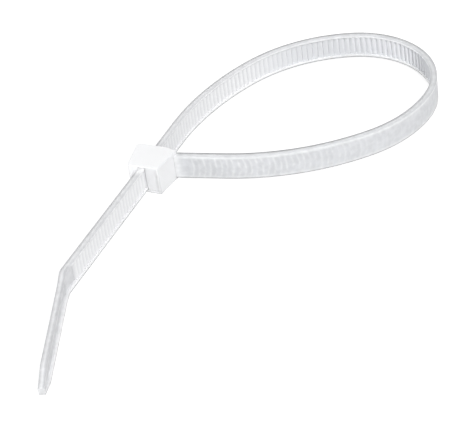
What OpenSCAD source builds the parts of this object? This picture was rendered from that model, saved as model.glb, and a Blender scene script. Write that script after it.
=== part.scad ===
// Self-locking cable tie, closed in a loose loop and lying on its edge.
// One moulding: the head, the strap that leaves it, and the tail that runs back through the head.
// The strap's width stands along Z. The slot of the head runs along the strap's last straight.

/* [Strap] */
// Width of the strap, across its two rails
strap_width = 4.8; // [3.6:0.1:7.8]
// Thickness of the strap at its rails
strap_thickness = 1.15; // [0.9:0.05:1.8]
// Thickness of the floor of the toothed track
floor_thickness = 0.65; // [0.4:0.02:0.8]
// Width of each smooth rail beside the track
rail_width = 0.5; // [0.3:0.05:0.9]

/* [Teeth] */
// Distance from one tooth to the next
tooth_pitch = 1.06; // [0.8:0.02:1.8]
// Height of a tooth over the floor of its track
tooth_height = 0.4; // [0.2:0.02:0.42]
// Share of the pitch that the steep side of a tooth leans over
tooth_rake = 0.12; // [0:0.02:0.3]
// Smooth strap between the head and the first tooth
smooth_start = 3; // [1:0.5:10]
// Smooth strap between the last tooth and the kink of the tail
smooth_before_kink = 2; // [1:0.5:8]
// Solid strap between the head and the start of the track
track_start = 1.6; // [0.6:0.2:3]

/* [Loop] */
// Angle between the strap that leaves the head and a square exit
root_angle = 13; // [0:0.2:25]
// Radius of the near strand beside the head
near_shoulder_radius = 45; // [35:0.5:55]
// Turn of the near strand beside the head
near_shoulder_turn = 35; // [24:0.5:40]
// Radius of the near strand beside the loop's end
near_bend_radius = 23; // [18:0.5:30]
// Turn of the near strand beside the loop's end
near_bend_turn = 37.5; // [28:0.5:42]
// Radius of the loop's end
end_radius = 16; // [13:0.25:20]
// Radius of the far strand beside the loop's end
far_bend_radius = 27.5; // [20:0.5:34]
// Turn of the far strand beside the loop's end
far_bend_turn = 44; // [36:0.5:50]
// Radius of the far strand on its way to the slot
far_shoulder_radius = 51; // [40:0.5:60]
// Turn of the far strand on its way to the slot
far_shoulder_turn = 26; // [18:0.5:34]

/* [Tail] */
// Straight tail between the head and the kink
tail_length = 30.3; // [10:0.5:60]
// Turn of the kink
kink_turn = 20; // [5:0.5:40]
// Radius of the kink
kink_radius = 3; // [2:0.5:12]
// Smooth end of the strap, from the kink to the tip's taper
end_length = 23; // [8:0.5:40]
// Width of the smooth end
end_width = 3.9; // [3:0.1:4.8]
// Length over which the strap narrows to its smooth end
narrowing_length = 4; // [2:0.5:8]
// Length of the tip's taper
taper_length = 4.4; // [2:0.2:9]
// Width of the blunt tip
tip_width = 1.2; // [0.8:0.1:2.6]

/* [Head] */
// Width of the head, across its two cheeks
head_width = 5.8; // [5.4:0.1:10]
// Depth of the head along the slot, from the entry to the exit
head_depth = 6.7; // [5.4:0.1:10]
// Back wall behind the slot at the entry
back_wall_entry = 3.2; // [1.5:0.1:4.5]
// Back wall behind the slot at the exit
back_wall_exit = 2.05; // [1:0.1:3]
// Wall in front of the pawl's pocket at the exit
front_wall_exit = 0.5; // [0.45:0.05:1.5]
// Extra front wall at the entry, where the strap leaves the head
front_wall_flare = 0.8; // [0:0.1:1.5]
// Round of the corner between the entry and the back
back_corner_round = 0.6; // [0.4:0.1:1.8]
// Bevel round the entry and the exit
head_bevel = 0.3; // [0.1:0.05:0.6]
// Gap on each side of the strap in the slot
slot_clearance = 0.1; // [0.06:0.02:0.2]
// Lead-in round the mouth of the slot
lead_in = 0.4; // [0.2:0.05:0.6]
// Distance of the strap's inner face below the entry
root_depth = 0.7; // [0.6:0.05:1.2]
// Fall of the entry from the slot's mouth to the strap that leaves the head
entry_slope = 0.55; // [0.2:0.05:0.6]

/* [Pawl] */
// Depth of the pocket that the pawl swings in, from the slot
pocket_depth = 2.2; // [2.1:0.1:3]
// Lip of the head between the entry and the pocket
pocket_lip = 1; // [0.7:0.1:1.6]
// Thickness of the pawl's arm at the lip
pawl_thickness = 0.7; // [0.5:0.05:1]
// Thickness of the pawl at its free end
pawl_end_thickness = 1.6; // [0.8:0.1:1.7]
// Gap between the pawl and the strap's rails and floor
pawl_clearance = 0.12; // [0.08:0.02:0.2]
// Count of teeth on the pawl
pawl_teeth = 3; // [2:1:3]
// Distance of the pawl's free end inside the exit
pawl_inset = 0.3; // [0.2:0.1:1.2]

/* [Hidden] */
$fn = 96;

// Where the loop lies against the axes: the slot's direction in plan
slot_heading = 241.7;

half_strap = strap_width / 2;
half_head = head_width / 2;
half_thick = strap_thickness / 2;
track_width = strap_width - 2 * rail_width;
floor_face = half_thick - floor_thickness;
tooth_tip = floor_face - tooth_height;
slot_width = strap_width + 2 * slot_clearance;
slot_wall = half_thick + slot_clearance;

// The rails round the loop's end are drawn too thick, then bored to the seat of the bundle.
seat_relief = 0.02;
seat_radius = end_radius - half_thick + seat_relief;
bore_allowance = 0.2;

back_entry = -slot_wall - back_wall_entry;
back_exit = -slot_wall - back_wall_exit;
front_exit = slot_wall + pocket_depth + front_wall_exit;
front_entry = front_exit + front_wall_flare;

// Runs of the strap from its root to its tip: [straight length, radius, left turn].
root_heading = root_angle;
end_turn = 270 - root_heading - near_shoulder_turn - near_bend_turn - far_bend_turn - far_shoulder_turn;
loop_arcs = [
    [0, near_shoulder_radius, near_shoulder_turn],
    [0, near_bend_radius, near_bend_turn],
    [0, end_radius, end_turn],
    [0, far_bend_radius, far_bend_turn],
    [0, far_shoulder_radius, far_shoulder_turn]
];
root_point = [front_exit, -root_depth - half_thick / cos(root_heading)];

function turned(run, heading) = run[1] == 0
    ? run[0] * [cos(heading), sin(heading)]
    : run[1] * [sin(heading + run[2]) - sin(heading), cos(heading) - cos(heading + run[2])];
function run_length(run) = run[1] == 0 ? run[0] : run[1] * run[2] * PI / 180;
function walk(runs, point, heading) = [
    for (i = 0, p = point, h = heading, s = 0;
        i <= len(runs);
        p = i < len(runs) ? p + turned(runs[i], h) : p,
        s = i < len(runs) ? s + run_length(runs[i]) : s,
        h = i < len(runs) ? h + runs[i][2] : h,
        i = i + 1) [p, h, s]
];

// The two straights beside the head close the loop on the slot.
arcs_walk = walk(loop_arcs, [0, 0], root_heading);
arcs_span = arcs_walk[len(loop_arcs)][0];
root_straight = -(root_point[0] + arcs_span[0]) / cos(root_heading);
slot_straight = root_point[1] + root_straight * sin(root_heading) + arcs_span[1];

runs = concat(
    [[root_straight, 0, 0]],
    loop_arcs,
    [
        [slot_straight + head_depth + tail_length, 0, 0],
        [0, kink_radius, kink_turn],
        [end_length + taper_length, 0, 0]
    ]
);
stations = walk(runs, root_point, root_heading);
tip_station = stations[len(runs)];
strap_length = tip_station[2];
slot_start = stations[len(loop_arcs) + 1][2] + slot_straight;
kink_start = stations[len(loop_arcs) + 2][2];

// Place on the strap's middle line at a distance along it, moved towards its outer face.
function run_at(s, i = 0) = i + 2 >= len(stations) || s < stations[i + 1][2] ? i : run_at(s, i + 1);
function place_in(run, station, s, out) =
    let (
        h = station[1] + (run[1] == 0 ? 0 : (s - station[2]) / run[1] * 180 / PI),
        p = run[1] == 0
            ? station[0] + (s - station[2]) * [cos(h), sin(h)]
            : station[0] + turned([0, run[1], h - station[1]], station[1])
    )
    p + out * [sin(h), -cos(h)];
function place(s, out) = let (i = run_at(s)) place_in(runs[i], stations[i], s, out);

// Distances along the strap at which its plan is drawn: the ends of each run, and every few degrees.
facet_turn = 2.5;
marks = [
    for (i = [0:len(runs) - 1])
        let (steps = max(1, ceil(runs[i][2] / facet_turn)), length = run_length(runs[i]))
            for (k = [0:steps - 1]) stations[i][2] + length * k / steps,
    strap_length
];
outer_line = [for (s = marks) place(s, half_thick)];
end_arc = 3;
function in_end(s) = s > stations[end_arc][2] + 0.01 && s < stations[end_arc + 1][2] - 0.01;
inner_line = [for (s = marks) place(s, -half_thick - (in_end(s) ? bore_allowance : 0))];
end_middle = place_in(runs[end_arc], stations[end_arc], stations[end_arc][2], -end_radius);
function backwards(line) = [for (i = [len(line) - 1:-1:0]) line[i]];

// Teeth: each has a steep side towards the head that moulds it and a slope towards the tip.
track_begin = front_wall_flare + track_start;
track_end = strap_length - taper_length;
first_tooth = front_wall_flare + smooth_start;
tooth_count = floor((kink_start - smooth_before_kink - first_tooth) / tooth_pitch);
last_tooth = first_tooth + tooth_count * tooth_pitch;
tooth_crest = tooth_pitch * tooth_rake;
tooth_flat = tooth_pitch * 0.1;
tooth_line = [
    for (i = [0:tooth_count - 1]) let (s = first_tooth + i * tooth_pitch) each [
        place(s, floor_face),
        place(s + tooth_crest, tooth_tip),
        place(s + tooth_crest + tooth_flat, tooth_tip),
        place(s + tooth_pitch * 0.96, floor_face)
    ]
];
track_line = concat(
    [place(0, -half_thick), place(track_begin, -half_thick), place(track_begin, floor_face)],
    [for (s = marks) if (s > track_begin && s < first_tooth) place(s, floor_face)],
    tooth_line,
    [for (s = marks) if (s > last_tooth && s < track_end) place(s, floor_face)],
    [place(track_end, floor_face), place(track_end, -half_thick), place(strap_length, -half_thick)]
);

module layer(low, high, line) {
    translate([0, 0, low])
        linear_extrude(high - low)
            polygon(concat(outer_line, backwards(line)));
}

// Places a side view of the strap's end: its tip at [0, 0], its length towards -X.
module end_view(low, high) {
    translate([tip_station[0][0], tip_station[0][1], 0])
        rotate([0, 0, tip_station[1]])
            rotate([90, 0, 0])
                translate([0, 0, low])
                    linear_extrude(high - low)
                        children();
}

// One side of the narrow end and of the tip's taper, to be cut away.
end_span = end_length + taper_length;
module tip_cut() {
    end_view(-2 * strap_thickness, 2 * strap_thickness)
        polygon([
            [-end_span, half_strap],
            [-end_span + narrowing_length, end_width / 2],
            [-taper_length, end_width / 2],
            [0, tip_width / 2],
            [1, tip_width / 2],
            [1, half_strap + 1],
            [-end_span, half_strap + 1]
        ]);
}

// The rail keeps its width along the narrow end, so the track narrows there.
module end_rail() {
    end_view(0.02 - half_thick, floor_face + 0.1)
        polygon([
            [-end_span + 0.1, track_width / 2 + 0.2],
            [-end_span + 0.1, track_width / 2],
            [-end_span + narrowing_length, end_width / 2 - rail_width],
            [-taper_length, end_width / 2 - rail_width],
            [-0.1, tip_width / 2 - 0.1],
            [-0.1, track_width / 2 + 0.2]
        ]);
}

module strap() {
    difference() {
        union() {
            layer(-half_strap, -track_width / 2, inner_line);
            layer(-track_width / 2, track_width / 2, track_line);
            layer(track_width / 2, half_strap, inner_line);
            end_rail();
            mirror([0, 0, 1])
                end_rail();
        }
        tip_cut();
        mirror([0, 0, 1])
            tip_cut();
        translate([end_middle[0], end_middle[1], -half_strap - 1])
            cylinder(r = seat_radius, h = strap_width + 2);
    }
}

// Outline of the head in plan, with a round between the entry and the back.
entry_round = [
    for (i = [0:8]) let (a = 90 + i * 10)
        [back_entry + back_corner_round, -back_corner_round] + back_corner_round * [cos(a), sin(a)]
];
head_outline = concat(entry_round, [
    [back_exit, -head_depth + head_bevel],
    [back_exit + head_bevel, -head_depth],
    [front_exit, -head_depth],
    [front_entry, -root_depth],
    [front_entry, -entry_slope],
    [slot_wall + lead_in + 0.9, 0]
]);
side_profile = [
    [0, half_head - head_bevel],
    [-head_bevel, half_head],
    [-head_depth + head_bevel, half_head],
    [-head_depth, half_head - head_bevel],
    [-head_depth, head_bevel - half_head],
    [-head_depth + head_bevel, -half_head],
    [-head_bevel, -half_head],
    [0, head_bevel - half_head]
];

module head_body() {
    intersection() {
        translate([0, 0, -half_head])
            linear_extrude(head_width)
                polygon(head_outline);
        translate([back_entry - 1, 0, 0])
            rotate([90, 0, 90])
                linear_extrude(front_entry - back_entry + 2)
                    polygon(side_profile);
    }
}

module slot_cut() {
    translate([-slot_wall, -head_depth - 1, -slot_width / 2])
        cube([2 * slot_wall, head_depth + 2, slot_width]);
    translate([0, -head_depth - 1, -slot_width / 2])
        cube([slot_wall + pocket_depth, head_depth + 1 - pocket_lip, slot_width]);
    translate([0, 0, -slot_width / 2])
        linear_extrude(slot_width)
            polygon([
                [-slot_wall - lead_in, 0.01],
                [-slot_wall, -lead_in * 1.6],
                [slot_wall, -lead_in * 1.6],
                [slot_wall + lead_in, 0.01]
            ]);
}

// The pawl hangs from the lip and reaches towards the exit, its teeth in those of the strap.
pawl_face = half_thick + pawl_clearance;
pawl_width = track_width - 2 * pawl_clearance;
pawl_end = -head_depth + pawl_inset;
pawl_tip = pawl_clearance - floor_face;
pawl_back = pawl_face + pawl_thickness;
lip_face = -pocket_lip;
lowest_tooth = floor((slot_start - first_tooth - pawl_end - 0.3) / tooth_pitch);
pawl_steps = [
    for (i = [0:pawl_teeth - 1])
        let (y = slot_start - first_tooth - (lowest_tooth - i) * tooth_pitch) each [
            [pawl_face, y - tooth_crest + pawl_clearance],
            [pawl_tip, y + pawl_clearance],
            [pawl_tip, y + tooth_flat + pawl_clearance],
            [pawl_face, y + tooth_pitch * 0.85]
        ]
];

module pawl() {
    translate([0, 0, -pawl_width / 2])
        linear_extrude(pawl_width)
            polygon(concat(
                [[pawl_face + pawl_end_thickness, pawl_end], [pawl_face, pawl_end]],
                pawl_steps,
                [
                    [pawl_face + 0.1, lip_face + 0.1],
                    [pawl_back + 0.4, lip_face + 0.1],
                    [pawl_back + 0.4, lip_face],
                    [pawl_back, lip_face - 0.8]
                ]
            ));
}

module head() {
    difference() {
        head_body();
        slot_cut();
    }
    pawl();
}

// Middle of the part in plan, from the whole strap and the head.
function placed(p) = let (a = slot_heading - 270)
    [p[0] * cos(a) - p[1] * sin(a), p[0] * sin(a) + p[1] * cos(a)];
far_reach = [for (p = concat(outer_line, inner_line, head_outline)) placed(p)];
middle = [
    (min([for (p = far_reach) p[0]]) + max([for (p = far_reach) p[0]])) / 2,
    (min([for (p = far_reach) p[1]]) + max([for (p = far_reach) p[1]])) / 2
];

module cable_tie() {
    color([0.9, 0.91, 0.9])
        translate([-middle[0], -middle[1], half_head])
            rotate([0, 0, slot_heading - 270]) {
                strap();
                head();
            }
}

cable_tie();
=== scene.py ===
import bisect
import math

import bmesh
import bpy
from mathutils import Matrix, Vector


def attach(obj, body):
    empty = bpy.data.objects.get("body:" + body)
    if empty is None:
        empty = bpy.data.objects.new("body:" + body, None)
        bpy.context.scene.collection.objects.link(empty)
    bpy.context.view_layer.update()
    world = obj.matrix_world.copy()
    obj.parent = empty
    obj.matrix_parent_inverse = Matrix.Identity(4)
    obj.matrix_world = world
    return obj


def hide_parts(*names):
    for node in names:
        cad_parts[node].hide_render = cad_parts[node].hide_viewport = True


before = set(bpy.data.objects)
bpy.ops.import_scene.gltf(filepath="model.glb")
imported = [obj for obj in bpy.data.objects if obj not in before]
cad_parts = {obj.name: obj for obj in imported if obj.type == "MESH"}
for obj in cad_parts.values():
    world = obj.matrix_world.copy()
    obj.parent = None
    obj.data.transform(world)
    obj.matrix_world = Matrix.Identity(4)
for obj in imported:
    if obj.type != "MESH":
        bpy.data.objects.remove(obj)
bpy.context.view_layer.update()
print("frame loaded")

mm = 0.001
tiny = 1e-6  # slack in comparing places, mm
weld = 1e-7  # vertices nearer than this are joined, m
midHeight = 2.9  # the strap's middle line over the bench, mm

# The strap's path, in mm, seen from the mouth of the head's slot.
path = {
    "slotHeading": 241.7,  # direction in which the tail runs through the head
    "entry": (-15.4935, 15.2214),  # middle of the slot's mouth, on the bench
    "rootPoint": (3.375, -1.2901),  # where the strap leaves the head
    "rootAngle": 13.0,
    # radius and turn of each arc of the loop
    "arcs": ((45.0, 35.0), (23.0, 37.5), (16.0, 114.5), (27.5, 44.0), (51.0, 26.0)),
    "throughHead": 6.7,
    "tail": 30.3,
    "kink": (3.0, 20.0),  # radius, turn
    "end": 27.4,
    "sample": 0.7,  # distance between two cross-sections
}


def stepAlong(point, heading, run):
    length, radius, turn = run
    h, k = math.radians(heading), math.radians(heading + turn)
    if radius == 0:
        return (point[0] + length * math.cos(h), point[1] + length * math.sin(h))
    return (
        point[0] + radius * (math.sin(k) - math.sin(h)),
        point[1] + radius * (math.cos(h) - math.cos(k)),
    )


def closingStraights():
    # the two straights beside the head are what the arcs leave over
    spot, heading = (0.0, 0.0), path["rootAngle"]
    for radius, turn in path["arcs"]:
        spot = stepAlong(spot, heading, (0, radius, turn))
        heading += turn
    a = math.radians(path["rootAngle"])
    fromRoot = -(path["rootPoint"][0] + spot[0]) / math.cos(a)
    return fromRoot, path["rootPoint"][1] + fromRoot * math.sin(a) + spot[1]


fromRoot, toSlot = closingStraights()
toKink = toSlot + path["throughHead"] + path["tail"]
runs = [(fromRoot, 0, 0)] + [(0, *arc) for arc in path["arcs"]]
runs += [(toKink, 0, 0), (0, *path["kink"]), (path["end"], 0, 0)]  # length, radius, turn
stations = [(path["rootPoint"], path["rootAngle"], 0.0)]  # point, heading, distance from the root
for run in runs:
    point, heading, along = stations[-1]
    length = run[0] if run[1] == 0 else run[1] * math.radians(run[2])
    stations.append((stepAlong(point, heading, run), heading + run[2], along + length))
starts = [station[2] for station in stations[:-1]]
arcsEnd = 1 + len(path["arcs"])
slotStart = stations[arcsEnd][2] + toSlot
kinkStart, strapLength = stations[arcsEnd + 1][2], stations[-1][2]
turnToPart = math.radians(path["slotHeading"] - 270)


def toPart(spot):
    c, s = math.cos(turnToPart), math.sin(turnToPart)
    return (
        path["entry"][0] + spot[0] * c - spot[1] * s,
        path["entry"][1] + spot[0] * s + spot[1] * c,
    )


def placeAlong(along):
    # the strap's middle line and its direction, at a distance from the root
    i = max(0, bisect.bisect_right(starts, along) - 1)
    point, heading, start = stations[i]
    rest, radius = along - start, runs[i][1]
    turn = 0 if radius == 0 else math.degrees(rest / radius)
    spot = toPart(stepAlong(point, heading, (rest, radius, turn)))
    h = math.radians(heading + turn) + turnToPart
    return spot, (math.cos(h), math.sin(h))


def linkObject(name, mesh):
    obj = bpy.data.objects.new(name, mesh)
    bpy.context.scene.collection.objects.link(obj)
    return obj


def meshFrom(name, verts, edges=(), faces=()):
    mesh = bpy.data.meshes.new(name)
    mesh.from_pydata(verts, edges, faces)
    return mesh


def addAttribute(mesh, name, kind, values):
    layer = mesh.attributes.new(name, kind, "POINT")
    for i, value in enumerate(values):
        if kind == "FLOAT":
            layer.data[i].value = value
        else:
            layer.data[i].vector = value


def smoothFaces(mesh, sharpOver):
    for face in mesh.polygons:
        face.use_smooth = True
    mesh.set_sharp_from_angle(angle=math.radians(sharpOver))


def outwardFaces(mesh):
    work = bmesh.new()
    work.from_mesh(mesh)
    bmesh.ops.remove_doubles(work, verts=work.verts, dist=weld)
    bmesh.ops.recalc_face_normals(work, faces=work.faces)
    work.to_mesh(mesh)
    work.free()


def bakeDown(obj, name):
    # the evaluated result as a plain mesh on a fresh object at the origin
    depsgraph = bpy.context.evaluated_depsgraph_get()
    mesh = bpy.data.meshes.new_from_object(obj.evaluated_get(depsgraph))
    bpy.data.objects.remove(obj)
    mesh.name = name
    return linkObject(name, mesh)


def flatNormals(obj, name):
    # the large faces are shaded flat, and only the bevels between them as rounds
    weighted = obj.modifiers.new("normals", "WEIGHTED_NORMAL")
    weighted.keep_sharp, weighted.weight = True, 100
    return bakeDown(obj, name)


# Adds a node to a tree: node(tree, kind, {input: value, socket or node}, property=value)
def node(tree, kind, inputs=None, **settings):
    made = tree.nodes.new(kind)
    for key, value in settings.items():
        setattr(made, key, value)
    for key, value in (inputs or {}).items():
        socket = made.inputs[key]
        if isinstance(value, bpy.types.NodeSocket):
            tree.links.new(value, socket)
        elif isinstance(value, bpy.types.Node):
            tree.links.new(value.outputs[0], socket)
        else:
            socket.default_value = value
    return made


# Natural nylon: milky where it is thick, greyer where it is thin.
nylonLook = {
    "thick": (0.79, 0.80, 0.81, 1),
    "thin": (0.67, 0.68, 0.70, 1),
    # track and crest tones are lighter than the thin tone: thin nylon, with painted light against
    # the shade in the trough between the rails
    "track": (0.73, 0.74, 0.76, 1),  # floor of the track round the loop
    "crest": (0.76, 0.77, 0.79, 1),
    # on the last stretch the rails and crests are whiter, and the gaps greyer: painted highlight
    # and painted shade for how that stretch takes the light
    "lastThick": (0.87, 0.875, 0.885, 1),
    "lastTrack": (0.67, 0.675, 0.69, 1),
    "lastCrest": (0.865, 0.87, 0.88, 1),
    "lastFrom": (-44.0, -28.0),  # where they change, in mm from the slot's mouth
    # painted shade for the strap's edges, standing in for the shaded rims of its rounded edges
    "edge": (0.42, 0.425, 0.44, 1),
    "end": (0.72, 0.725, 0.74, 1),  # the smooth end beyond the teeth
    "head": (0.84, 0.845, 0.855, 1),
    # painted shade for the head's bevels
    "headEdgeShade": (0.50, 0.51, 0.525, 1),
    # the pawl is lighter than the head: painted light in its shaded pocket
    "pawl": (0.88, 0.885, 0.895, 1),
    "roughness": 0.42,
    "ior": 1.53,
    "strapScatter": (0.6, 0.8 * mm),  # weight and radius of the light that goes through
    "toothScatter": (0.0, 0.1 * mm),
    "headScatter": (0.5, 0.5 * mm),
    "grain": (900.0, 0.004 * mm, 0.15),  # scale, depth and strength of the mould's texture
    "noiseDetail": 2.0,
    "cloud": (850.0, 0.05),  # scale of the milkier patches, and how much they vary
    "cloudSpan": (0.3, 0.7),  # noise between which they vary
}


def nylonShader(tree, colour, scatter):
    weight, radius = scatter
    shader = node(tree, "ShaderNodeBsdfPrincipled", {
        "Base Color": colour,
        "Roughness": nylonLook["roughness"],
        "IOR": nylonLook["ior"],
        "Subsurface Weight": weight,
        "Subsurface Radius": (1.0, 1.0, 1.0),
        "Subsurface Scale": radius,
        "Normal": mouldBump(tree),
    })
    node(tree, "ShaderNodeOutputMaterial", {"Surface": shader.outputs[0]})


def newMaterial(name):
    material = bpy.data.materials.new(name)
    material.use_nodes = True
    material.node_tree.nodes.clear()
    return material, material.node_tree


def mathNode(tree, operation, a, b=0.0, clamp=False):
    made = node(tree, "ShaderNodeMath", {0: a, 1: b}, operation=operation, use_clamp=clamp)
    return made.outputs[0]


def times(tree, a, b):
    return mathNode(tree, "MULTIPLY", a, b)


def ramp(tree, value, low, high, fromValue=0.0, toValue=1.0, smooth=True):
    return node(tree, "ShaderNodeMapRange", {
        "Value": value, "From Min": low, "From Max": high, "To Min": fromValue, "To Max": toValue,
    }, interpolation_type="SMOOTHSTEP" if smooth else "LINEAR").outputs[0]


def mixColour(tree, factor, a, b):
    made = node(tree, "ShaderNodeMix", {"Factor": factor}, data_type="RGBA")
    first, second = (socket for socket in made.inputs if socket.type == "RGBA")
    for socket, value in ((first, a), (second, b)):
        if isinstance(value, bpy.types.NodeSocket):
            tree.links.new(value, socket)
        else:
            socket.default_value = value
    return next(socket for socket in made.outputs if socket.type == "RGBA")


def noise(tree, scale):
    coords = node(tree, "ShaderNodeTexCoord").outputs["Object"]
    return node(tree, "ShaderNodeTexNoise", {
        "Vector": coords, "Scale": scale, "Detail": nylonLook["noiseDetail"],
    }).outputs[0]


def mouldBump(tree):
    scale, depth, strength = nylonLook["grain"]
    return node(tree, "ShaderNodeBump", {
        "Height": noise(tree, scale), "Strength": strength, "Distance": depth,
    }).outputs[0]


def clouded(tree, colour):
    # milkier and clearer patches, one or two millimetres across
    scale, share = nylonLook["cloud"]
    light = ramp(tree, noise(tree, scale), *nylonLook["cloudSpan"], 1.0 - share, 1.0 + share)
    made = node(tree, "ShaderNodeVectorMath", {0: colour, "Scale": light}, operation="SCALE")
    return made.outputs[0]


def attributeNode(tree, name):
    return node(tree, "ShaderNodeAttribute", attribute_name=name).outputs["Fac"]


def nylonTone(tree, along, tone):
    # a tone of the loop, which changes on the strap's last stretch, where painted highlight and
    # painted shade are mixed in
    last = ramp(tree, along, *(slotStart + d for d in nylonLook["lastFrom"]))
    return mixColour(tree, last, nylonLook[tone], nylonLook["last" + tone.capitalize()])


# The teeth as they show through the smooth outer face.
ribLook = {
    "depth": 0.7,
    "sharpness": 2.4,
    "shift": 0.3,  # of the pitch, from a tooth's start to the middle of its bar
    "bow": 0.1,  # mm along the strap, at 1 mm from its middle line
    "wander": (300.0, 0.7),  # scale, and how many mm a bar strays
    "uneven": (700.0, 0.35, 0.6),  # scale, and noise of the faintest and the strongest stretch
    "unevenShare": (0.3, 1.2),
    "fade": (16.0, 44.0, 1.0, 0.22),  # from here to there along the strap, from all to this share
    "softEnds": 0.3,
}


def ribsThrough(tree, along, height):
    # light bars, one for each tooth, bowed, straying and uneven
    square = mathNode(tree, "POWER", mathNode(tree, "ABSOLUTE", height), 2.0)
    wanderScale, wander = ribLook["wander"]
    bow = times(tree, square, ribLook["bow"])
    bow = mathNode(tree, "ADD", bow, times(tree, noise(tree, wanderScale), wander))
    barMiddle = tooth["first"] + ribLook["shift"] * tooth["pitch"] + wander / 2
    phase = mathNode(tree, "SUBTRACT", mathNode(tree, "ADD", along, bow), barMiddle)
    wave = mathNode(tree, "COSINE", times(tree, phase, 2 * math.pi / tooth["pitch"]))
    bar = mathNode(tree, "ADD", times(tree, wave, 0.5), 0.5)
    bar = mathNode(tree, "POWER", bar, ribLook["sharpness"])
    bar = times(tree, bar, ramp(tree, along, *ribLook["fade"]))
    unevenScale, *unevenSpan = ribLook["uneven"]
    uneven = ramp(tree, noise(tree, unevenScale), *unevenSpan, *ribLook["unevenShare"])
    bar = times(tree, bar, uneven)
    soft = ribLook["softEnds"]
    begun = ramp(tree, along, tooth["first"] - soft, tooth["first"] + soft)
    notEnded = ramp(tree, along, lastTooth - soft, lastTooth + soft, 1.0, 0.0)
    return times(tree, times(tree, bar, times(tree, begun, notEnded)), ribLook["depth"])


# Where the strap's tones change, in mm.
strapLook = {
    "whiteRoot": (-0.1, 2.1),  # along: the head's white fades out
    "greyFrom": (0.5, 3.1),  # along: the strap begins to look thin
    "outerFace": (0.3, 0.5),  # outwards from its middle
    "innerSide": (-0.4, -0.05),  # outwards: on this side the smooth end is grey
    "lowerRim": (0.45, 0.65),  # up from the lower edge: below it the smooth end stays light
    "cut": (0.06, 0.01),  # back from the tip: the cut begins
    # painted shade on the cut at the tip, which dims the lamps' highlight on its rim
    "cutShade": (0.2, 0.35),  # share of the edge's tone that the cut keeps, and what it gets
    # either way from the head's exit: from here to there the painted edge shade comes back
    "exitEdgeShade": (0.8, 2.6, 0.25, 1.0),
}


def strapMaterial():
    material, tree = newMaterial("strapNylon")
    along, height = attributeNode(tree, "along"), attributeNode(tree, "height")
    outward, edge = attributeNode(tree, "outward"), attributeNode(tree, "edge")

    # grey where it is thin, but for the bars of the teeth on the outer face
    outside = ramp(tree, outward, *strapLook["outerFace"])
    started = ramp(tree, along, *strapLook["greyFrom"])
    thin = times(tree, attributeNode(tree, "thin"), started)
    betweenBars = mathNode(tree, "SUBTRACT", 1.0, ribsThrough(tree, along, height))
    notOutside = mathNode(tree, "SUBTRACT", 1.0, outside)
    betweenBars = mathNode(tree, "MAXIMUM", betweenBars, notOutside)
    grey = mathNode(tree, "MULTIPLY", thin, betweenBars, clamp=True)
    thinColour = mixColour(tree, outside, nylonTone(tree, along, "track"), nylonLook["thin"])
    colour = mixColour(tree, grey, nylonTone(tree, along, "thick"), thinColour)

    # the smooth end is grey inside, but not at its lower rim and its cut
    overRim = ramp(tree, height, *(d - strap["width"] / 2 for d in strapLook["lowerRim"]))
    inner = times(tree, overRim, ramp(tree, outward, *strapLook["innerSide"], 1.0, 0.0))
    smoothEnd = times(tree, inner, ramp(tree, along, lastTooth, kinkStart))
    beforeCut = ramp(tree, along, *(strapLength - d for d in strapLook["cut"]), 1.0, 0.0)
    colour = mixColour(tree, times(tree, smoothEnd, beforeCut), colour, nylonLook["end"])

    # painted edge shade: the edges are darker, for the shaded rims of rounded edges, but not where
    # the tail leaves the head
    # the cut keeps part of the painted edge shade and gets painted shade of its own, against the
    # highlight on its rim
    kept, added = strapLook["cutShade"]
    edge = times(tree, edge, ramp(tree, beforeCut, 0.0, 1.0, kept, 1.0))
    edge = mathNode(tree, "ADD", edge, ramp(tree, beforeCut, 0.0, 1.0, added, 0.0))
    fromExit = mathNode(tree, "SUBTRACT", along, slotStart + path["throughHead"])
    fromExit = mathNode(tree, "ABSOLUTE", fromExit)
    edge = times(tree, edge, ramp(tree, fromExit, *strapLook["exitEdgeShade"]))
    colour = mixColour(tree, edge, colour, nylonLook["edge"])
    fromHead = ramp(tree, along, *strapLook["whiteRoot"])
    colour = mixColour(tree, fromHead, nylonLook["head"], colour)
    nylonShader(tree, clouded(tree, colour), nylonLook["strapScatter"])
    return material


def toothMaterial():
    material, tree = newMaterial("toothNylon")
    along, crest = attributeNode(tree, "along"), attributeNode(tree, "crest")
    # painted light and painted highlight on the steep sides and crests, painted shade at the foot
    # of each slope
    foot, top = nylonTone(tree, along, "track"), nylonTone(tree, along, "crest")
    nylonShader(tree, mixColour(tree, crest, foot, top), nylonLook["toothScatter"])
    return material


def plainNylon(name, tone):
    material, tree = newMaterial(name)
    # bevels marked in the edge attribute get painted shade
    edge = attributeNode(tree, "edge")
    colour = mixColour(tree, edge, nylonLook[tone], nylonLook["headEdgeShade"])
    nylonShader(tree, colour, nylonLook["headScatter"])
    return material


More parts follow.
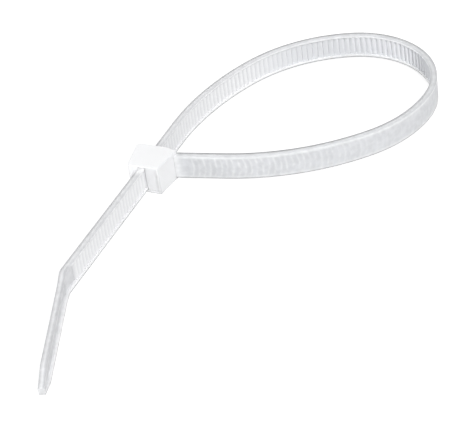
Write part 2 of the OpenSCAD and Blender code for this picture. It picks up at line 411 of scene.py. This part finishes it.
# The strap: one cross-section swept along the path by geometry nodes.
strap = {
    "width": 4.8,
    "thickness": 1.15,
    "floor": 0.65,  # thickness under the toothed track
    "rail": 0.5,
    "trackRound": 0.09,
    "roundSteps": 4,
    "trackStart": 2.4,
    "trackOpens": (0.0, 0.06, 0.14, 0.25),  # sections over which it opens, from its start
    "trackCloses": (1.4, 0.35),  # before the tip
    "narrowing": 4.0,
    "endWidth": 3.9,
    "taper": 4.4,
    "tipWidth": 1.2,
    "leastHeight": 0.02,  # a height that is tapered away stays this far from the middle line
    "tipSections": (0.05, 0.12, 0.22, 0.35, 0.55, 0.9, 1.4, 2.0, 2.8, 3.6),
    "kinkSections": (10, 0.12),  # count, distance
    "closest": 0.03,  # two sections are never nearer
    # painted edge shade: how far from its corner it reaches, and how strong it is; more on the
    # lower edge, as a painted contact shadow
    "upperEdgeShade": (0.32, 0.8),
    "lowerEdgeShade": (0.2, 0.95),
    "edgeShadeMiddle": 0.45,  # share of that in the middle of the narrow side
    # how thin it looks: beside a rail on the floor of the track, and inwards from a rail outside
    "floorThin": (0.3, 0.6),
    "outerThin": ((0.02, 0.55), (0.2, 0.95), (0.45, 1.0)),
    "thinFades": (0.5, 0.1),  # before the tip
    "sharpOver": 95,
}
tooth = {
    "pitch": 1.06,
    "first": 3.8,
    "beforeKink": 2.0,
    "height": 0.4,
    "crestFrom": 0.12,  # shares of the pitch
    "crestTo": 0.22,
    "foot": 0.96,
    "sink": 0.06,  # into the floor of the track
    "bite": 0.02,  # into the rails
    "edgeRound": 0.03,
    "sharpOver": 25,
    # from the steep side over the crest, which are white as painted light and painted highlight,
    # to the grey foot of the slope, painted shade between the teeth
    "crestLightFootShade": (1, 0.9, 1, 1, 1, 0.9, 0, 0),
}
toothCount = math.floor((kinkStart - tooth["beforeKink"] - tooth["first"]) / tooth["pitch"])
lastTooth = tooth["first"] + toothCount * tooth["pitch"]


def roundedCorner(corner, before, after, radius, steps):
    c, a, b = Vector(corner), Vector(before), Vector(after)
    toA, toB = (a - c).normalized(), (b - c).normalized()
    half = toA.angle(toB) / 2
    cut = radius / math.tan(half)
    middle = c + (toA + toB).normalized() * (radius / math.sin(half))
    start, end = c + toA * cut - middle, c + toB * cut - middle
    sweep = start.angle(end)
    points = []
    for i in range(steps + 1):
        turned = sweep * i / steps
        spoke = start * math.sin(sweep - turned) + end * math.sin(turned)
        points.append(middle + spoke / math.sin(sweep))
    return points


def strapRim(soft, dark):
    # from the outer face over one edge to the floor of the track; each corner has its place, its
    # round, how thin the strap looks there and how much painted edge shade it gets
    half, out = strap["width"] / 2, strap["thickness"] / 2
    floor, track, step = out - strap["floor"], half - strap["rail"], strap["trackRound"]
    thinFrom, thinBeside = strap["floorThin"]
    return [
        ((out, half - soft), 0, 0, 0),
        ((out, half), 0, 0, dark),
        ((0, half), 0, 0, strap["edgeShadeMiddle"] * dark),
        ((-out, half), 0, 0, dark),
        ((-out, half - soft), 0, 0, 0),
        ((-out, track), step, 0, 0),
        ((floor, track), step, thinBeside, 0),
        ((floor, track - thinFrom), 0, 1, 0),
    ]


def strapProfile():
    # x is outwards from the loop, y is the height over the middle line
    out, track = strap["thickness"] / 2, strap["width"] / 2 - strap["rail"]
    line = strapRim(*strap["upperEdgeShade"])
    for (x, y), radius, thin, edge in reversed(strapRim(*strap["lowerEdgeShade"])):
        line.append(((x, -y), radius, thin, edge))
    outerFace = [(-track + inwards, thin) for inwards, thin in strap["outerThin"]]
    outerFace += [(0.0, 1.0)] + [(-height, thin) for height, thin in reversed(outerFace)]
    line += [((out, height), 0, thin, 0) for height, thin in outerFace]
    points = {"spot": [], "thin": [], "edge": [], "recess": []}
    for i, (spot, radius, thin, edge) in enumerate(line):
        before, after = line[i - 1][0], line[(i + 1) % len(line)][0]
        rounded = [Vector(spot)]
        if radius:
            rounded = roundedCorner(spot, before, after, radius, strap["roundSteps"])
        for p in rounded:
            inTrack = abs(p.y) < track + tiny and abs(p.x) < out - tiny
            points["spot"].append(p)
            points["thin"].append(thin)
            points["edge"].append(edge)
            points["recess"].append(1.0 if inTrack else 0.0)
    return points


def strapSections():
    # closely spaced where the form changes, evenly elsewhere
    marks = {lastTooth, strapLength - strap["taper"]}
    marks.update(station[2] for station in stations)
    marks.update(strap["trackStart"] + d for d in strap["trackOpens"])
    marks.update(strapLength - d for d in strap["tipSections"])
    bends, apart = strap["kinkSections"]
    marks.update(kinkStart + i * apart for i in range(bends))
    count = math.ceil(strapLength / path["sample"])
    marks.update(strapLength * i / count for i in range(count + 1))
    spaced = []
    for value in sorted(marks):
        if not spaced or value - spaced[-1] > strap["closest"]:
            spaced.append(value)
    return spaced


def pathMesh(name, marks):
    verts, tangents = [], []
    for along in marks:
        spot, direction = placeAlong(along)
        verts.append((spot[0] * mm, spot[1] * mm, midHeight * mm))
        tangents.append((*direction, 0.0))
    mesh = meshFrom(name, verts, [(i, i + 1) for i in range(len(verts) - 1)])
    addAttribute(mesh, "along", "FLOAT", marks)
    addAttribute(mesh, "tangent", "FLOAT_VECTOR", tangents)
    addAttribute(mesh, "spine", "FLOAT_VECTOR", verts)
    return mesh


def newGeometryTree(name, sizes, objects=()):
    tree = bpy.data.node_groups.new(name, "GeometryNodeTree")
    face = tree.interface
    face.new_socket("Geometry", in_out="INPUT", socket_type="NodeSocketGeometry")
    face.new_socket("Geometry", in_out="OUTPUT", socket_type="NodeSocketGeometry")
    for label in objects:
        face.new_socket(label, in_out="INPUT", socket_type="NodeSocketObject")
    for label in sizes:
        face.new_socket(label, in_out="INPUT", socket_type="NodeSocketFloat")
    face.new_socket("Material", in_out="INPUT", socket_type="NodeSocketMaterial")
    return tree, tree.nodes.new("NodeGroupInput"), tree.nodes.new("NodeGroupOutput")


def addGeometryNodes(obj, tree, values):
    modifier = obj.modifiers.new(tree.name, "NODES")
    modifier.node_group = tree
    for item in tree.interface.items_tree:
        if item.in_out == "INPUT" and item.name in values:
            modifier[item.identifier] = values[item.name]


def finishTree(tree, made, given, result):
    whole = node(tree, "GeometryNodeRealizeInstances", {"Geometry": made.outputs[0]})
    painted = node(tree, "GeometryNodeSetMaterial", {
        "Geometry": whole.outputs[0], "Material": given.outputs["Material"],
    })
    tree.links.new(painted.outputs[0], result.inputs[0])


def sweepTree():
    sizes = [
        "Narrow start", "Narrow end", "Narrow by", "Taper start", "Tip", "Taper by",
        "Least height", "Track start", "Track open", "Track closes", "Track closed",
        "Thin fades", "Thin gone", "Rail face",
    ]
    tree, given, result = newGeometryTree("strapSweep", sizes, ["Profile"])
    size = given.outputs

    def named(label, kind="FLOAT"):
        made = node(tree, "GeometryNodeInputNamedAttribute", {"Name": label}, data_type=kind)
        return made.outputs[0]

    def mapped(low, high, fromValue, toValue):
        return node(tree, "ShaderNodeMapRange", {
            "Value": along, "From Min": size[low], "From Max": size[high],
            "To Min": fromValue, "To Max": toValue,
        }).outputs[0]

    def calc(operation, a, b=0.0):
        return mathNode(tree, operation, a, b)

    def vectors(operation, inputs):
        return node(tree, "ShaderNodeVectorMath", inputs, operation=operation).outputs[0]

    spine = node(tree, "GeometryNodeMeshToCurve", {"Mesh": size["Geometry"]})
    profileObject = node(tree, "GeometryNodeObjectInfo", {"Object": size["Profile"]})
    profile = node(tree, "GeometryNodeMeshToCurve", {"Mesh": profileObject.outputs["Geometry"]})
    swept = node(tree, "GeometryNodeCurveToMesh", {
        "Curve": spine.outputs[0], "Profile Curve": profile.outputs[0], "Fill Caps": True,
    })
    along, outward, height = named("along"), named("outward"), named("height")

    # the end narrows, and its tip tapers
    narrow = mapped("Narrow start", "Narrow end", 0.0, size["Narrow by"])
    shift = calc("ADD", narrow, mapped("Taper start", "Tip", 0.0, size["Taper by"]))
    newHeight = calc("SUBTRACT", calc("ABSOLUTE", height), shift)
    newHeight = calc("MAXIMUM", newHeight, size["Least height"])
    newHeight = calc("MULTIPLY", newHeight, calc("SIGN", height))

    # the track opens after the root, and closes before the tip
    opens = mapped("Track start", "Track open", 0.0, 1.0)
    opening = calc("MULTIPLY", opens, mapped("Track closes", "Track closed", 1.0, 0.0))
    closed = calc("MULTIPLY", named("recess"), calc("SUBTRACT", 1.0, opening))
    toRailFace = calc("SUBTRACT", size["Rail face"], outward)
    newOut = calc("ADD", outward, calc("MULTIPLY", closed, toRailFace))

    sideways = vectors("CROSS_PRODUCT", {0: named("tangent", "FLOAT_VECTOR"), 1: (0.0, 0.0, 1.0)})
    outStep = vectors("SCALE", {0: sideways, "Scale": calc("MULTIPLY", newOut, mm)})
    upStep = node(tree, "ShaderNodeCombineXYZ", {"Z": calc("MULTIPLY", newHeight, mm)})
    moved = vectors("ADD", {0: named("spine", "FLOAT_VECTOR"), 1: outStep})
    moved = vectors("ADD", {0: moved, 1: upStep})
    placed = node(tree, "GeometryNodeSetPosition", {"Geometry": swept, "Position": moved})
    fades = mapped("Thin fades", "Thin gone", 1.0, 0.0)
    thinner = node(tree, "GeometryNodeStoreNamedAttribute", {
        "Geometry": placed, "Name": "thin", "Value": calc("MULTIPLY", named("thin"), fades),
    }, data_type="FLOAT", domain="POINT")
    finishTree(tree, thinner, given, result)
    return tree


def makeStrap():
    points = strapProfile()
    spots = points["spot"]
    count = len(spots)
    ring = [(i, (i + 1) % count) for i in range(count)]
    profile = meshFrom("strapProfile", [(p.x * mm, p.y * mm, 0) for p in spots], ring)
    for name in ("thin", "edge", "recess"):
        addAttribute(profile, name, "FLOAT", points[name])
    addAttribute(profile, "outward", "FLOAT", [p.x for p in spots])
    addAttribute(profile, "height", "FLOAT", [p.y for p in spots])
    profileObject = linkObject("strapProfile", profile)
    spine = linkObject("strapSpine", pathMesh("strapSpine", strapSections()))
    closes, closed = (strapLength - d for d in strap["trackCloses"])
    fades, gone = (strapLength - d for d in strap["thinFades"])
    addGeometryNodes(spine, sweepTree(), {
        "Profile": profileObject,
        "Narrow start": kinkStart,
        "Narrow end": kinkStart + strap["narrowing"],
        "Narrow by": (strap["width"] - strap["endWidth"]) / 2,
        "Taper start": strapLength - strap["taper"],
        "Tip": strapLength,
        "Taper by": (strap["endWidth"] - strap["tipWidth"]) / 2,
        "Least height": strap["leastHeight"],
        "Track start": strap["trackStart"],
        "Track open": strap["trackStart"] + strap["trackOpens"][-1],
        "Track closes": closes,
        "Track closed": closed,
        "Thin fades": fades,
        "Thin gone": gone,
        "Rail face": -strap["thickness"] / 2,
        "Material": strapMaterial(),
    })
    made = bakeDown(spine, "tie_strap")
    bpy.data.objects.remove(profileObject)
    outwardFaces(made.data)
    smoothFaces(made.data, strap["sharpOver"])
    for face in made.data.polygons:
        if len(face.vertices) > 4:  # the two cut ends
            face.use_smooth = False
    return made


# The teeth: one wedge, instanced along the path at the pitch.
def toothMesh():
    floor = strap["thickness"] / 2 - strap["floor"]
    low, high = floor + tooth["sink"], floor - tooth["height"]
    p, r = tooth["pitch"], tooth["edgeRound"]
    crestFrom, crestTo, foot = (tooth[k] * p for k in ("crestFrom", "crestTo", "foot"))
    line = [
        (0.0, low), (0.0, floor),
        (crestFrom - r, high + 2 * r), (crestFrom + r, high),
        (crestTo, high), (crestTo + 2 * r, high + r),
        (foot, floor), (foot, low),
    ]
    half = strap["width"] / 2 - strap["rail"] + tooth["bite"]
    verts = [(x * mm, -y * mm, side * half * mm) for side in (-1, 1) for x, y in line]
    n = len(line)
    faces = [tuple(range(n)), tuple(range(2 * n - 1, n - 1, -1))]
    faces += [(i, n + i, n + (i + 1) % n, (i + 1) % n) for i in range(n)]
    mesh = meshFrom("tooth", verts, faces=faces)
    addAttribute(mesh, "crest", "FLOAT", tooth["crestLightFootShade"] * 2)
    outwardFaces(mesh)
    return mesh


def teethTree():
    tree, given, result = newGeometryTree("teethAlongTrack", ["First", "Last", "Count"], ["Tooth"])
    size = given.outputs
    spine = node(tree, "GeometryNodeMeshToCurve", {"Mesh": size["Geometry"]})
    trimmed = node(tree, "GeometryNodeTrimCurve", {"Curve": spine}, mode="LENGTH")
    for label, socket in (("Start", size["First"]), ("End", size["Last"])):
        lengths = [s for s in trimmed.inputs if s.name == label and s.enabled]
        tree.links.new(socket, lengths[-1])
    spaced = node(tree, "GeometryNodeResampleCurve", {
        "Curve": trimmed, "Count": size["Count"],
    }, mode="COUNT")
    wedge = node(tree, "GeometryNodeObjectInfo", {"Object": size["Tooth"]})
    tangent = node(tree, "GeometryNodeInputTangent")
    turned = node(tree, "FunctionNodeAlignRotationToVector", {
        "Vector": tangent,
    }, axis="X", pivot_axis="Z")
    copies = node(tree, "GeometryNodeInstanceOnPoints", {
        "Points": spaced, "Instance": wedge.outputs["Geometry"], "Rotation": turned,
    })
    finishTree(tree, copies, given, result)
    return tree


def makeTeeth():
    wedge = linkObject("toothWedge", toothMesh())
    spine = linkObject("teethSpine", pathMesh("teethSpine", strapSections()))
    addGeometryNodes(spine, teethTree(), {
        "Tooth": wedge,
        "First": tooth["first"] * mm,
        "Last": (lastTooth - tooth["pitch"]) * mm,
        "Count": float(toothCount),
        "Material": toothMaterial(),
    })
    made = bakeDown(spine, "tie_teeth")
    bpy.data.objects.remove(wedge)
    smoothFaces(made.data, tooth["sharpOver"])
    return made


# The head: a box with bevelled edges, the slot through it and the pocket of the pawl.
head = {
    "width": 5.8,
    "depth": 6.7,
    "backEntry": 3.2,
    "backExit": 2.05,
    "frontExit": 0.5,
    "frontFlare": 0.8,
    "backRound": 0.6,
    "roundStep": 15,  # degrees
    "rootDepth": 0.7,
    "entrySlope": 0.55,
    "entryRim": 1.3,
    "bevel": 0.3,
    "bevelSteps": 1,
    "bevelOver": 25,
    "sharpOver": 60,
    "gap": 0.1,
    "leadIn": (0.6, 0.3),  # how wide its cutter is past the slot, and how far out that is
    "leadDepth": 0.64,
    "pocketDepth": 2.2,
    "pocketLip": 1.0,
    "cutterPast": 1.0,
    # painted shade on the bevels: the lower ones take all of it, as a painted contact shadow, the
    # upper ones this share
    "upperEdgeShade": 0.3,  # how dark the upper edges are against the lower ones
}


def prism(name, outline, low, high):
    # an outline in the head's plan, in mm from the slot's mouth, drawn up between two heights
    verts = []
    for z in (low, high):
        for spot in outline:
            x, y = toPart(spot)
            verts.append((x * mm, y * mm, z * mm))
    n = len(outline)
    faces = [tuple(range(n - 1, -1, -1)), tuple(range(n, 2 * n))]
    faces += [(i, (i + 1) % n, n + (i + 1) % n, n + i) for i in range(n)]
    mesh = meshFrom(name, verts, faces=faces)
    outwardFaces(mesh)
    return linkObject(name, mesh)


def headOutline(wall):
    back, backExit = -wall - head["backEntry"], -wall - head["backExit"]
    front = wall + head["pocketDepth"] + head["frontExit"]
    flare = front + head["frontFlare"]
    depth, r = head["depth"], head["backRound"]
    corner = []
    for degrees in range(90, 181, head["roundStep"]):
        a = math.radians(degrees)
        corner.append((back + r + r * math.cos(a), -r + r * math.sin(a)))
    return corner + [
        (backExit, -depth), (front, -depth), (flare, -head["rootDepth"]),
        (flare, -head["entrySlope"]), (wall + head["entryRim"], 0),
    ]


def headCutters(wall):
    slotHalf = strap["width"] / 2 + head["gap"]
    heights = midHeight - slotHalf, midHeight + slotHalf
    past, pocket, lip = head["cutterPast"], wall + head["pocketDepth"], -head["pocketLip"]
    end, leadDepth = -head["depth"] - past, -head["leadDepth"]
    wide, over = head["leadIn"]
    outlines = {
        "slotCut": [(-wall, past), (-wall, end), (wall, end), (wall, past)],
        "pocketCut": [(0, lip), (0, end), (pocket, end), (pocket, lip)],
        "mouthCut": [
            (-wall - wide, over), (-wall, leadDepth), (wall, leadDepth), (wall + wide, over),
        ],
    }
    return [prism(name, outline, *heights) for name, outline in outlines.items()]


def makeHead():
    wall = strap["thickness"] / 2 + head["gap"]
    body = prism("headBody", headOutline(wall), 0, head["width"])
    for name in ("headFace", "headBevel"):
        body.data.materials.append(bpy.data.materials.new(name))
    bevel = body.modifiers.new("bevel", "BEVEL")
    bevel.material = 1
    bevel.width = head["bevel"] * mm
    bevel.segments = head["bevelSteps"]
    bevel.limit_method = "ANGLE"
    bevel.angle_limit = math.radians(head["bevelOver"])
    cutters = headCutters(wall)
    for cutter in cutters:
        cut = body.modifiers.new(cutter.name, "BOOLEAN")
        cut.operation, cut.solver, cut.object = "DIFFERENCE", "EXACT", cutter
    made = bakeDown(body, "headCut")
    for cutter in cutters:
        bpy.data.objects.remove(cutter)

    # the bevels get painted edge shade, fullest on the lower ones as a painted contact shadow, and
    # the head is of one material
    bevelled = [face.material_index > 0 for face in made.data.polygons]
    made.data.materials.clear()
    made.data.materials.append(plainNylon("headNylon", "head"))
    edge = made.data.attributes.new("edge", "FLOAT", "FACE")
    for face, isBevel in zip(made.data.polygons, bevelled):
        face.material_index = 0
        takesContactShade = face.center.z < midHeight * mm / 2
        edge.data[face.index].value = (1.0 if takesContactShade else head["upperEdgeShade"]) if isBevel else 0.0
    smoothFaces(made.data, head["sharpOver"])
    return flatNormals(made, "tie_head")


# The pawl: a tongue that hangs from the lip, its teeth in those of the strap.
pawl = {
    "thickness": 0.7,
    "endThickness": 2.17,
    "gap": 0.07,
    "sideGap": 0.06,  # beside the body, behind the rails
    "inset": 0.2,
    "hinge": (0.4, 0.1, 0.8),  # how far it widens, reaches into the lip, and narrows below it
    "teeth": 3,
    "toothInset": 0.3,  # the first tooth is at least this far from the end
    "toothTop": 0.1,  # shares of the pitch
    "toothFoot": 0.85,
    "toothSink": (0.05, 0.02),  # into the body, and back from its end
    "edgeRound": 0.08,
    "sharpOver": 30,
}


def makePawl():
    halfThick = strap["thickness"] / 2
    floor = strap["floor"] - halfThick
    gap, p = pawl["gap"], tooth["pitch"]
    face, tip = halfThick + gap, floor + gap
    back = face + pawl["thickness"]
    end, lip = pawl["inset"] - head["depth"], -head["pocketLip"]
    widens, into, narrows = pawl["hinge"]
    body = [
        (face + pawl["endThickness"], end), (face, end), (face, lip + into),
        (back + widens, lip + into), (back + widens, lip), (back, lip - narrows),
    ]
    wide = strap["width"] / 2 + head["gap"] - pawl["sideGap"]
    made = prism("pawlBody", body, midHeight - wide, midHeight + wide)

    # its teeth stand between those of the strap, and its toe reaches down to them
    firstTooth = slotStart - tooth["first"]
    lowest = math.floor((firstTooth - end - pawl["toothInset"]) / p)
    steps = []
    for i in range(pawl["teeth"]):
        y = firstTooth - (lowest - i) * p
        steps += [
            (face, y - tooth["crestFrom"] * p + gap), (tip, y + gap),
            (tip, y + pawl["toothTop"] * p + gap), (face, y + pawl["toothFoot"] * p),
        ]
    toe = floor + tooth["height"] + gap
    sink, fromEnd = pawl["toothSink"]
    edge = [(face + sink, end + fromEnd), (toe, end + fromEnd), (toe, steps[0][1])]
    edge += steps[1:] + [(face + sink, steps[-1][1])]
    narrow = strap["width"] / 2 - strap["rail"] - gap
    teeth = prism("pawlTeeth", edge, midHeight - narrow, midHeight + narrow)
    joined = made.modifiers.new("teeth", "BOOLEAN")
    joined.operation, joined.solver, joined.object = "UNION", "EXACT", teeth
    bevel = made.modifiers.new("bevel", "BEVEL")
    bevel.width, bevel.segments, bevel.limit_method = pawl["edgeRound"] * mm, 1, "ANGLE"
    made = bakeDown(made, "tie_pawl")
    bpy.data.objects.remove(teeth)
    made.data.materials.clear()
    made.data.materials.append(plainNylon("pawlNylon", "pawl"))
    smoothFaces(made.data, pawl["sharpOver"])
    return made


pieces = [makeStrap(), makeTeeth(), makeHead(), makePawl()]
print("tie made:", [(p.name, len(p.data.polygons)) for p in pieces])
for piece in pieces:
    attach(piece, "root")
    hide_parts("cable_tie")

# The bench top and the light. Seen directly, the bench glows, so that it looks white.
stage = {"size": 3.0, "colour": (0.34, 0.34, 0.34, 1), "seenAs": 0.8}


def lightPathSeen(tree):
    rays = node(tree, "ShaderNodeLightPath")
    seen = mathNode(tree, "MAXIMUM", rays.outputs["Is Camera Ray"], rays.outputs["Is Glossy Ray"])
    return mathNode(tree, "MAXIMUM", seen, rays.outputs["Is Transmission Ray"])


def makeFloor():
    half = stage["size"] / 2
    corners = [(-half, -half, 0), (half, -half, 0), (half, half, 0), (-half, half, 0)]
    floor = linkObject("bench_top", meshFrom("bench_top", corners, faces=[(0, 1, 2, 3)]))
    material, tree = newMaterial("whiteBench")
    lit = node(tree, "ShaderNodeBsdfDiffuse", {"Color": stage["colour"]})
    strength = times(tree, lightPathSeen(tree), stage["seenAs"])
    glow = node(tree, "ShaderNodeEmission", {"Color": (1, 1, 1, 1), "Strength": strength})
    both = node(tree, "ShaderNodeAddShader", {0: lit, 1: glow})
    node(tree, "ShaderNodeOutputMaterial", {"Surface": both})
    floor.data.materials.append(material)


lamps = {
    "world": 0.5,
    "across": 0.4,  # size of each soft lamp, m
    "soft": {  # place and watts; all point at the tie
        "keyLamp": ((0.4, -1.07, 0.9), 13.8),
        "leftLamp": ((-0.6, -0.95, 0.75), 3.2),
        "rightLamp": ((1.1, -0.3, 0.75), 2.0),
        "bendLamp": ((-1.15, -0.1, 0.22), 5.5),  # reaches into the round end of the loop
    },
}


def makeLamps():
    world = bpy.data.worlds.new("studio")
    bpy.context.scene.world = world
    world.use_nodes = True
    tree = world.node_tree
    tree.nodes.clear()
    seen = lightPathSeen(tree)
    strength = ramp(tree, seen, 0, 1, lamps["world"], 1.0, smooth=False)
    glow = node(tree, "ShaderNodeBackground", {"Color": (1, 1, 1, 1), "Strength": strength})
    node(tree, "ShaderNodeOutputWorld", {"Surface": glow.outputs[0]})
    for name, (place, watts) in lamps["soft"].items():
        data = bpy.data.lights.new(name, "AREA")
        data.shape, data.size, data.energy = "DISK", lamps["across"], watts
        lamp = linkObject(name, data)
        lamp.location = place
        lamp.rotation_euler = (-Vector(place)).to_track_quat("-Z", "Y").to_euler()


# The camera stands as it did for the photo.
camera = {
    "place": (-1.466 * mm, -301.478 * mm, 220.285 * mm),
    "elevation": 36.016,  # how steeply it looks down, degrees
    "roll": -7.877,
    "lens": 164.4,
    "sensor": 36.0,
    "shift": (-0.02764, -0.02063),
    "clip": (0.01, 10),
}


def makeCamera():
    data = bpy.data.cameras.new("photoCamera")
    data.lens, data.sensor_width = camera["lens"], camera["sensor"]
    data.shift_x, data.shift_y = camera["shift"]
    data.clip_start, data.clip_end = camera["clip"]
    made = linkObject("photoCamera", data)
    e, roll = math.radians(camera["elevation"]), math.radians(camera["roll"])
    forward = Vector((0, math.cos(e), -math.sin(e)))
    right, up = Vector((1, 0, 0)), Vector((0, math.sin(e), math.cos(e)))
    across = right * math.cos(roll) + up * math.sin(roll)
    above = up * math.cos(roll) - right * math.sin(roll)
    made.rotation_euler = Matrix((across, above, -forward)).transposed().to_euler()
    made.location = camera["place"]
    bpy.context.scene.camera = made


makeFloor()
makeLamps()
makeCamera()
bpy.context.scene.view_settings.view_transform = "Standard"
print("stage, lamps and camera set")
